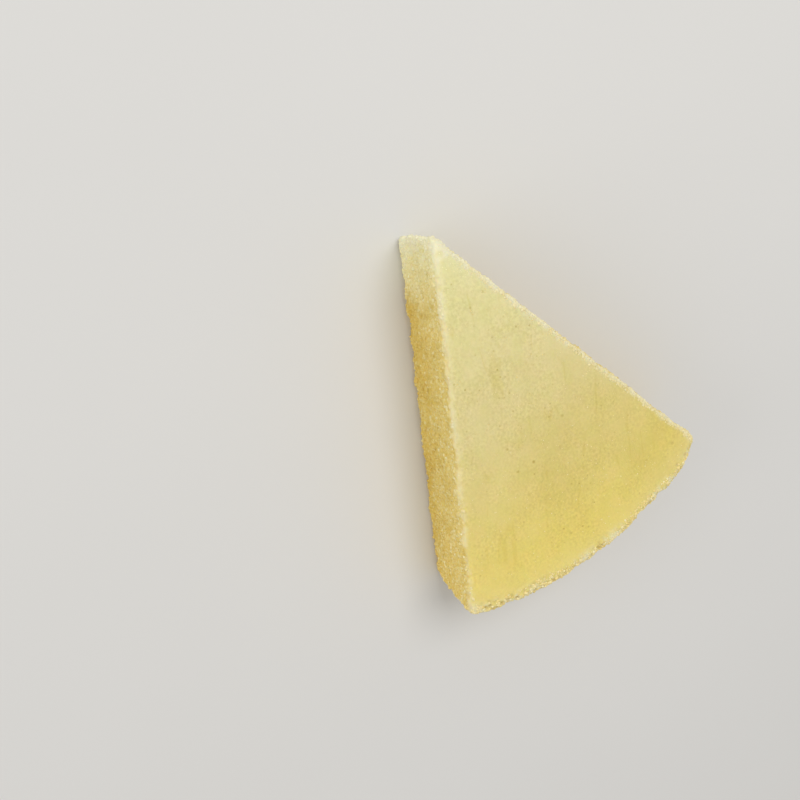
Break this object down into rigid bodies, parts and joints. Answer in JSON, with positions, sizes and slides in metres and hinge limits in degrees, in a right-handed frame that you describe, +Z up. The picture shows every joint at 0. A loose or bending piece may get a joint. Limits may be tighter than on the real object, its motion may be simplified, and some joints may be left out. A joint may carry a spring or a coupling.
{
  "type": "steamed millet cake slice",
  "caption": "Wedge slice of steamed millet cake: flat soft top, grainy cut sides meeting at a tip, rough curved outer side and flat base.",
  "frame": {"origin": "under the middle of the bounding box, on the flat base that the slice rests on", "axes": "+X from the tip to the curved outer side along the middle of the slice, +Y across it, +Z up through the thickness"},
  "size_m": [0.1052, 0.0844, 0.0268],
  "materials": {
    "millet_crumb": "matte, moist, fine-grained sponge"
  },
  "bodies": {
    "root": {"cake_slice": "millet_crumb"}
  },
  "joints": []
}
